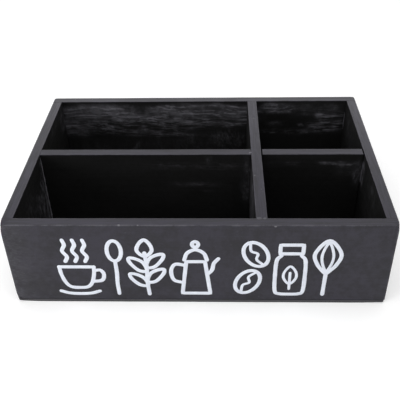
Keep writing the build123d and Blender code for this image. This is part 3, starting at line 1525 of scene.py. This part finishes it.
@dataclass(frozen=True)
class Dab:
    """A low dome of dried paint on a rim, with an uneven outline, in millimetres, whose light grey
    paints a highlight.

    It reaches half to each side of its middle, and flatness times that to front and back. Its
    rings lie at shares of its reach, and the outermost one lies sink below the rim.
    """

    across: float
    deep: float
    half: float
    rise: float
    flatness: float = 0.8
    unevenness: float = 0.3
    outline_turn: float = 2.0
    sink: float = 0.04
    around: int = 20
    rings: tuple[float, ...] = (1.0, 0.8, 0.5)

    def mesh(self) -> bpy.types.Mesh:
        """Join rings of points around a tip, closed underneath.

        Returns:
            The dab's mesh.
        """
        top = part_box("back_board")[1].z / MM
        points: list[tuple[float, float, float]] = []
        for share in (*self.rings, 0.0):
            for k in range(self.around if share else 1):
                angle = 2 * math.pi * k / self.around
                edge = Vector((
                    self.across + self.outline_turn * math.cos(angle),
                    self.deep + self.outline_turn * math.sin(angle),
                    self.half,
                ))
                ragged = 1 + self.unevenness * noise.noise(edge)
                reach = self.half * share * ragged
                x = self.across + reach * math.cos(angle)
                y = self.deep + reach * self.flatness * math.sin(angle)
                rim = HAND_WORK.relief(Vector((x, y, top)), 1.0)
                lift = self.rise * (1 - share ** 2) - (self.sink if share == 1.0 else 0.0)
                points.append((x * MM, y * MM, (top - rim + min(lift, rim)) * MM))
        around = self.around
        faces: list[tuple[int, ...]] = []
        for ring in range(len(self.rings) - 1):
            for k in range(around):
                a, b = ring * around + k, ring * around + (k + 1) % around
                faces.append((a, b, b + around, a + around))
        inner, tip = (len(self.rings) - 1) * around, len(self.rings) * around
        faces += [(inner + k, inner + (k + 1) % around, tip) for k in range(around)]
        faces.append(tuple(reversed(range(around))))
        mesh = bpy.data.meshes.new("paint_dab")
        mesh.from_pydata(points, [], faces)
        return mesh


@dataclass
class DriedPaintHighlights:
    """Beads and dabs of paint that have dried in corners and on joints, in light greys that paint
    highlights.
    """

    beads: tuple[Bead, ...] = (Bead(-141.0, -4.5, 8.0, 78.5),)
    thin_beads: tuple[Bead, ...] = (
        Bead(141.0, -4.5, 50.0, 74.0),
        Bead(141.0, 93.5, 48.0, 68.0),
    )
    dabs: tuple[Dab, ...] = (
        Dab(43.0, -1.2, 1.3, 0.1),
        Dab(46.2, -93.6, 2.1, 0.09),
        Dab(50.4, -93.8, 1.5, 0.08),
        Dab(49.8, -56.0, 0.8, 0.07),
    )

    def build(self) -> None:
        """Build the beads and the dabs."""
        made = [("corner_bead", bead.mesh(), DRIED_PAINT_HIGHLIGHT) for bead in self.beads]
        made += [("thin_bead", bead.mesh(), DAB_PAINT_HIGHLIGHT) for bead in self.thin_beads]
        made += [("joint_dab", dab.mesh(), DAB_PAINT_HIGHLIGHT) for dab in self.dabs]
        for number, (name, mesh, paint) in enumerate(made, 1):
            mesh.polygons.foreach_set("use_smooth", [True] * len(mesh.polygons))
            mesh.set_sharp_from_angle(angle=CREASE)
            mesh.materials.append(paint.material(Axis.UP))
            piece = bpy.data.objects.new(f"{name}_{number}", mesh)
            bpy.context.scene.collection.objects.link(piece)
            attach(piece, BODY)
            log.info("%s: %d faces", piece.name, len(mesh.polygons))


@dataclass
class Brads:
    """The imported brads, which keep their shape and get their steel."""

    nodes: tuple[str, ...] = (
        "front_corner_brads", "back_corner_brads", "long_divider_brads",
        "cross_divider_brads", "bottom_panel_brads",
    )

    def build(self) -> None:
        """Put the steel on every group of brads."""
        steel = BradSteel().material()
        for name in self.nodes:
            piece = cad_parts[name]
            piece.data.materials.clear()
            piece.data.materials.append(steel)
            log.info("%s: steel", name)


# White drawings

Line = np.ndarray
Spots = list[tuple[float, float]]


def curve_through(knots: Spots | Line, closed: bool = False, fine: int = 8) -> Line:
    """A smooth line through knots.

    Args:
        knots: Points that the line passes, in millimetres.
        closed: Whether the line comes back to its first knot.
        fine: Points of the line between two knots.

    Returns:
        The points of the line.
    """
    rough = np.array(knots, float)
    if closed:
        rough = np.vstack([rough[-1], rough, rough[0], rough[1]])
    else:
        rough = np.vstack([2 * rough[0] - rough[1], rough, 2 * rough[-1] - rough[-2]])
    points = []
    for n in range(1, len(rough) - 2):
        a, b, c, d = rough[n - 1 : n + 3]
        for t in np.linspace(0, 1, fine, endpoint=False):
            points.append(0.5 * (
                2 * b + (c - a) * t + (2 * a - 5 * b + 4 * c - d) * t ** 2
                + (3 * b - a - 3 * c + d) * t ** 3
            ))
    points.append(rough[-2])
    return np.array(points)


def straight(*corners: tuple[float, float], apart: float = 1.5) -> Line:
    """A line of straight runs between corners.

    Args:
        corners: The corners, in millimetres.
        apart: About how far apart the points of the line lie.

    Returns:
        The points of the line.
    """
    points = []
    for a, b in zip(corners, corners[1:]):
        a, b = np.array(a, float), np.array(b, float)
        count = max(2, round(float(np.linalg.norm(b - a)) / apart))
        points += [a + (b - a) * n / count for n in range(count)]
    return np.array(points + [np.array(corners[-1], float)])


def leant(line: Line, x: float, y: float, tilt: float) -> Line:
    """Lean a line to the left about its origin, and move the origin to a place.

    Args:
        line: The points of the line.
        x: The place across.
        y: The place up.
        tilt: Degrees that it leans.

    Returns:
        The moved points.
    """
    a = math.radians(tilt)
    across, up = line[:, 0], line[:, 1]
    return np.stack([x + across * math.cos(a) - up * math.sin(a),
                     y + across * math.sin(a) + up * math.cos(a)], 1)


def oval(
    x: float, y: float, half_width: float, half_height: float, tilt: float = 0.0,
    corners: int = 40,
) -> Line:
    """A closed oval.

    Args:
        x: Its middle across.
        y: Its middle up.
        half_width: Half its width.
        half_height: Half its height.
        tilt: Degrees that it leans to the left.
        corners: How many short straight runs it has.

    Returns:
        The points of the line.
    """
    turn = np.linspace(0, 2 * math.pi, corners + 1)
    flat = np.stack([half_width * np.cos(turn), half_height * np.sin(turn)], 1)
    return leant(flat, x, y, tilt)


@dataclass(frozen=True)
class Drawing:
    """One small drawing, as lines from its own lower left corner."""

    name: str
    width: float
    lines: tuple[Line, ...]
    fine_lines: tuple[Line, ...] = ()


def steaming_cup() -> Drawing:
    """A cup on a saucer with three curls of steam.

    Returns:
        The drawing.
    """
    bowl = curve_through([(3, 30), (3.6, 22), (6, 13), (10, 8), (17, 7), (24, 8), (28, 13),
                          (30.4, 22), (31, 30)])
    handle = curve_through([(31, 26), (36, 26.5), (38.5, 22), (36.5, 15.5), (28.5, 14)])
    saucer = curve_through([(1, 3), (8, 0.6), (17, 0), (26, 0.6), (33, 3)])
    steam = [
        curve_through([(x, 36), (x + 1.8, 41), (x - 1.2, 47), (x + 1.2, 53), (x + 0.2, 58)])
        for x in (9, 17, 25)
    ]
    return Drawing("steaming_cup", 38.5, (bowl, straight((3, 30), (31, 30)), handle, saucer,
                                          *steam))


def tall_spoon() -> Drawing:
    """A spoon standing on its handle.

    Returns:
        The drawing.
    """
    return Drawing("tall_spoon", 12.0, (
        oval(6, 47, 5.6, 10.5), curve_through([(6, 36.5), (6.3, 24), (5.8, 12), (6.2, 0.5)]),
    ))


def leafy_sprig() -> Drawing:
    """A sprig with pairs of leaves.

    Returns:
        The drawing.
    """
    lines = [curve_through([(15, 0), (14, 14), (14.6, 30), (13.6, 45)])]
    x = 14.4
    for side, base, up in ((-1, 10, 8), (1, 14, 9), (-1, 26, 9), (1, 30, 9)):
        leaf = [(x, base), (x + side * 6.5, base + 0.4), (x + side * 13, base + up - 0.6),
                (x + side * 13.8, base + up + 4.6), (x + side * 8, base + up + 3.6),
                (x + side * 2.4, base + up - 0.6)]
        lines.append(curve_through(leaf, closed=True))
    top = [(13.6, 41.5), (7.8, 47), (9.4, 54), (14, 58.5), (18.2, 54), (19.4, 47)]
    lines.append(curve_through(top, closed=True))
    return Drawing("leafy_sprig", 28.0, tuple(lines))


def enamel_pot() -> Drawing:
    """A tall pot with a lid, a spout and a handle.

    Returns:
        The drawing.
    """
    body = straight((10, 1), (33, 1), (29, 36), (14, 36), (10, 1))
    lid = curve_through([(12.5, 38), (15, 45), (21.5, 48.5), (28, 45), (30.5, 38)])
    knob = oval(21.5, 54, 2.4, 2.8)
    spout = curve_through([(30.5, 22), (34.5, 27), (36, 34), (39.5, 39)])
    handle = curve_through([(13.2, 32), (5, 33), (1.5, 26), (3.5, 16), (11.3, 13)])
    return Drawing("enamel_pot", 39.5, (body, lid, knob, spout, handle))


def two_beans() -> Drawing:
    """Two roasted beans, one above the other.

    Returns:
        The drawing.
    """
    seam = np.array([(0.8, 12), (-1.8, 5), (1.6, 0), (-1.6, -5), (0.6, -12)])
    rounds, seams = [], []
    for x, y, tilt in ((10.5, 14.2, -28), (16.5, 43.6, 26)):
        rounds.append(oval(x, y, 9.0, 13.2, tilt))
        seams.append(curve_through(leant(seam, x, y, tilt)))
    return Drawing("two_beans", 27.0, tuple(rounds), tuple(seams))


def lidded_jar() -> Drawing:
    """A jar with a wide lid and a small leaf on its side.

    Returns:
        The drawing.
    """
    body = curve_through([(5, 42.5), (1.6, 37), (1.0, 20), (1.6, 4), (5, 0.8), (13, 0.3),
                          (21, 0.8), (24.4, 4), (25, 20), (24.4, 37), (21, 42.5)])
    lid = straight((4, 44.5), (22, 44.5), (22, 53.5), (4, 53.5), (4, 44.5))
    leaf = curve_through([(13, 12), (8.2, 18), (8.4, 25), (13, 31), (17.6, 25), (17.8, 18)],
                         closed=True)
    return Drawing("lidded_jar", 26.0, (body, lid), (leaf, straight((13, 6.5), (13, 24))))


def small_whisk() -> Drawing:
    """A whisk with its wires up.

    Returns:
        The drawing.
    """
    outer = curve_through([(11, 23), (3.6, 33), (1.0, 45), (11, 58), (21.2, 45), (18.6, 33),
                           (11, 23)])
    inner = curve_through([(11, 24.5), (7.2, 35), (6.8, 45), (11, 55.5), (15.2, 45), (14.9, 35),
                           (11, 24.5)])
    return Drawing("small_whisk", 22.0, (outer, straight((11, 23), (10.4, 0.5))), (inner,))


@dataclass
class WhiteDrawings:
    """A row of line drawings in raised white paint across the front board.

    A stroke's outline wavers by a share of its width. Its top is domed: dome gives the heights
    of its points at dome_shares of its half width. Past each end of its line come end_steps,
    as shares of its half width, where it narrows to end_widths and so ends round.
    """

    left: float = -113.0
    foot: float = 9.0
    size: float = 0.975
    gap: float = 4.4
    group_gap: float = 13.0
    stroke: float = 3.5
    fine_share: float = 0.72
    thickness: float = 0.12
    sink: float = 0.05
    waver: float = 0.09
    waver_waves: float = 0.22
    waver_start: float = 3.7
    dome_shares: tuple[float, ...] = (-0.8, -0.4, 0.0, 0.4, 0.8)
    dome: tuple[float, ...] = (0.6, 0.92, 1.0, 0.92, 0.6)
    end_steps: tuple[float, ...] = (0.5, 0.8, 0.95, 1.0)
    end_widths: tuple[float, ...] = (0.866, 0.6, 0.31, 0.0)

    def row(self) -> list[tuple[float, Drawing]]:
        """Space the drawings out in their two groups.

        Returns:
            Where each one starts across, in millimetres, and the drawing.
        """
        placed = []
        x = self.left
        groups = (
            (steaming_cup(), tall_spoon(), leafy_sprig(), enamel_pot()),
            (two_beans(), lidded_jar(), small_whisk()),
        )
        for group in groups:
            for drawing in group:
                placed.append((x, drawing))
                x += drawing.width * self.size + self.gap
            x += self.group_gap - self.gap
        return placed

    def ribbon(
        self, line: Line, width: float, seed: float
    ) -> tuple[np.ndarray, list[tuple[int, ...]]]:
        """One stroke of paint with round ends and a slightly domed top.

        Args:
            line: The middle of the stroke on the face, in millimetres.
            width: The stroke's width.
            seed: A number that makes its uneven edge its own.

        Returns:
            Points as across, up and height above the face, and faces.
        """
        closed = bool(np.linalg.norm(line[0] - line[-1]) < TINY)
        if not closed:
            ends = []
            for tip, inner in ((line[0], line[1]), (line[-1], line[-2])):
                way = (tip - inner) / np.linalg.norm(tip - inner)
                ends.append([tip + way * width / 2 * step for step in self.end_steps])
            line = np.vstack([ends[0][::-1], line, ends[1]])
        before = np.vstack([line[-2] if closed else line[0], line[:-1]])
        after = np.vstack([line[1:], line[1] if closed else line[-1]])
        way = after - before
        way /= np.maximum(np.linalg.norm(way, axis=1), TINY)[:, None]
        across = np.stack([-way[:, 1], way[:, 0]], 1)
        waver = np.array([
            noise.noise(Vector((x * self.waver_waves, up * self.waver_waves, seed)))
            for x, up in line
        ])
        half = width / 2 * (1 + self.waver * waver)
        if not closed:
            narrow = len(self.end_widths)
            half[:narrow] *= self.end_widths[::-1]
            half[-narrow:] *= self.end_widths
        shares = (-1.0, *self.dome_shares, 1.0, 0.0)
        levels = [self.thickness * height for height in self.dome]
        levels = (-self.sink, *levels, -self.sink, -2 * self.sink)
        points = []
        for share, level in zip(shares, levels):
            spot = line + across * (half * share)[:, None]
            points.append(np.column_stack([spot, np.full(len(line), level)]))
        count, rows = len(line), len(shares)
        last = count - 1
        faces: list[tuple[int, ...]] = []
        for row in range(rows):
            here, there = row * count, (row + 1) % rows * count
            for n in range(last):
                onward = (n + 1) % last if closed else n + 1
                faces.append((here + n, there + n, there + onward, here + onward))
        if not closed:
            faces.append(tuple(row * count for row in reversed(range(rows))))
            faces.append(tuple(row * count + last for row in range(rows)))
        return np.vstack(points), faces

    def build(self) -> None:
        """Build each drawing on the uneven face of the front board."""
        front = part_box("front_board")[0].y / MM
        face = front + Walls().paint_recess
        paint = WhitePaint().material()
        for start, drawing in self.row():
            points, faces = [], []
            strokes = [(line, self.stroke) for line in drawing.lines]
            strokes += [(line, self.stroke * self.fine_share) for line in drawing.fine_lines]
            for n, (line, width) in enumerate(strokes):
                spots, strips = self.ribbon(
                    line * self.size + np.array([start, self.foot]), width,
                    n * self.waver_start,
                )
                offset = sum(len(group) for group in points)
                points.append(spots)
                faces += [tuple(index + offset for index in strip) for strip in strips]
            flat = np.vstack(points)
            placed = []
            for x, z, height in flat.tolist():
                below = HAND_WORK.relief(Vector((x, front, z)), 0.0)
                placed.append((x * MM, (face + below - height) * MM, z * MM))
            mesh = bpy.data.meshes.new(drawing.name)
            mesh.from_pydata(placed, [], faces)
            mesh.validate()
            mesh.polygons.foreach_set("use_smooth", [True] * len(faces))
            mesh.materials.append(paint)
            piece = bpy.data.objects.new("white_" + drawing.name, mesh)
            bpy.context.scene.collection.objects.link(piece)
            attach(piece, BODY)
            log.info("%s: %d strokes", piece.name, len(strokes))


# Studio


@dataclass(frozen=True)
class Lamp:
    """A soft rectangular lamp: its place, what it faces, its size in metres and its watts."""

    name: str
    place: tuple[float, float, float]
    aim: tuple[float, float, float]
    size: tuple[float, float]
    power: float

    def build(self) -> None:
        """Hang the lamp."""
        data = bpy.data.lights.new(self.name, "AREA")
        data.shape = "RECTANGLE"
        data.size, data.size_y = self.size
        data.energy = self.power
        lamp = bpy.data.objects.new(self.name, data)
        lamp.location = self.place
        way = Vector(self.aim) - Vector(self.place)
        lamp.rotation_euler = way.to_track_quat("-Z", "Y").to_euler()
        bpy.context.scene.collection.objects.link(lamp)


@dataclass
class Studio:
    """A pale floor, a white surround and soft lamps, in metres.

    The camera sees the floor lifted towards white, by floor_lift near the tray and by far_lift
    far from it.
    """

    floor_half: float = 3.0
    floor_drop: float = 0.0001
    floor_white: float = 0.8
    floor_matte: float = 0.9
    floor_lift: float = 0.31
    far_lift: float = 0.7
    lift_starts: float = 0.45
    lift_ends: float = 2.6
    ambient: float = 0.42
    lamps: tuple[Lamp, ...] = (
        Lamp("overhead", (0.0, -0.25, 1.7), (0.0, 0.0, 0.0), (1.8, 1.8), 20.0),
        Lamp("back_panel", (-0.15, 1.9, 0.75), (0.0, 0.0, 0.05), (2.2, 0.8), 2.9),
        Lamp("side_fill", (-0.85, -0.7, 0.35), (-0.1, -0.1, 0.03), (0.5, 0.5), 4.4),
    )

    def floor_finish(self) -> bpy.types.Material:
        """The floor's material, which is clear from below.

        Returns:
            The material.
        """
        made, wires, shader = new_finish("pale_floor")
        shader.inputs["Base Color"].default_value = (self.floor_white,) * 3 + (1.0,)
        shader.inputs["Roughness"].default_value = self.floor_matte
        shader.inputs["Specular IOR Level"].default_value = 0.0
        away = wires.add("ShaderNodeVectorMath", operation="LENGTH")
        wires.feed(away.inputs[0], wires.add("ShaderNodeTexCoord").outputs["Object"])
        lift = wires.ramp(
            away.outputs["Value"], self.lift_starts, self.lift_ends,
            self.floor_lift, self.far_lift,
        )
        glow = wires.add("ShaderNodeEmission")
        wires.feed(glow.inputs["Strength"], wires.times(seen_directly(wires), lift))
        lit = wires.add("ShaderNodeAddShader")
        wires.feed(lit.inputs[0], shader.outputs[0])
        wires.feed(lit.inputs[1], glow.outputs[0])
        clear = wires.add("ShaderNodeBsdfTransparent")
        both = wires.add("ShaderNodeMixShader")
        wires.feed(both.inputs[0], wires.add("ShaderNodeNewGeometry").outputs["Backfacing"])
        wires.feed(both.inputs[1], lit.outputs[0])
        wires.feed(both.inputs[2], clear.outputs[0])
        output = made.node_tree.nodes["Material Output"]
        wires.feed(output.inputs["Surface"], both.outputs[0])
        return made

    def floor(self) -> None:
        """A plain pale floor that keeps the tray's shadow."""
        half, drop = self.floor_half, -self.floor_drop
        mesh = bpy.data.meshes.new("floor")
        mesh.from_pydata(
            [(-half, -half, drop), (half, -half, drop), (half, half, drop), (-half, half, drop)],
            [], [(0, 1, 2, 3)],
        )
        mesh.materials.append(self.floor_finish())
        piece = bpy.data.objects.new("floor", mesh)
        bpy.context.scene.collection.objects.link(piece)

    def surround(self) -> None:
        """A white surround that lights the tray less than it shows to the camera."""
        world = bpy.data.worlds.new("studio_surround")
        world.use_nodes = True
        bpy.context.scene.world = world
        wires = Wires(world.node_tree)
        background = world.node_tree.nodes["Background"]
        background.inputs["Color"].default_value = (1.0, 1.0, 1.0, 1.0)
        wires.feed(background.inputs["Strength"],
                   wires.ramp(seen_directly(wires), 0.0, 1.0, self.ambient, 1.0))

    def build(self) -> None:
        """Set up the floor, the surround and the lamps."""
        self.floor()
        self.surround()
        for lamp in self.lamps:
            lamp.build()


def seen_directly(wires: Wires) -> bpy.types.NodeSocket:
    """Tell rays that show a thing from rays that only carry its light.

    Args:
        wires: The node tree that the nodes go into.

    Returns:
        1 for rays from the camera, a reflection or clear material, and 0 for others.
    """
    path = wires.add("ShaderNodeLightPath").outputs
    either = wires.maths("MAXIMUM", path["Is Camera Ray"], path["Is Glossy Ray"])
    return wires.maths("MAXIMUM", either, path["Is Transmission Ray"])


@dataclass(frozen=True)
class Viewpoint:
    """The camera, in metres and degrees."""

    place: tuple[float, float, float] = (0.016862, -0.470636, 0.376563)
    turn: tuple[float, float, float] = (53.4950, 1.0998, 1.4550)
    lens: float = 57.2053
    sensor: float = 36.0
    nearest: float = 0.01

    def build(self) -> None:
        """Make the camera and look through it."""
        data = bpy.data.cameras.new("viewpoint")
        data.lens = self.lens
        data.sensor_width = self.sensor
        data.clip_start = self.nearest
        camera = bpy.data.objects.new("viewpoint", data)
        camera.location = self.place
        camera.rotation_euler = Euler([math.radians(angle) for angle in self.turn])
        bpy.context.scene.collection.objects.link(camera)
        bpy.context.scene.camera = camera


def main() -> None:
    """Build the tray, the studio and the camera."""
    logging.basicConfig(level=logging.INFO, format="%(message)s")
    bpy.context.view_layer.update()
    Walls().build()
    Dividers().build()
    Bottom().build()
    Brads().build()
    DriedPaintHighlights().build()
    WhiteDrawings().build()
    Studio().build()
    Viewpoint().build()
    bpy.context.scene.view_settings.view_transform = "Standard"
    bpy.context.view_layer.update()


if __name__ == "__main__":
    main()
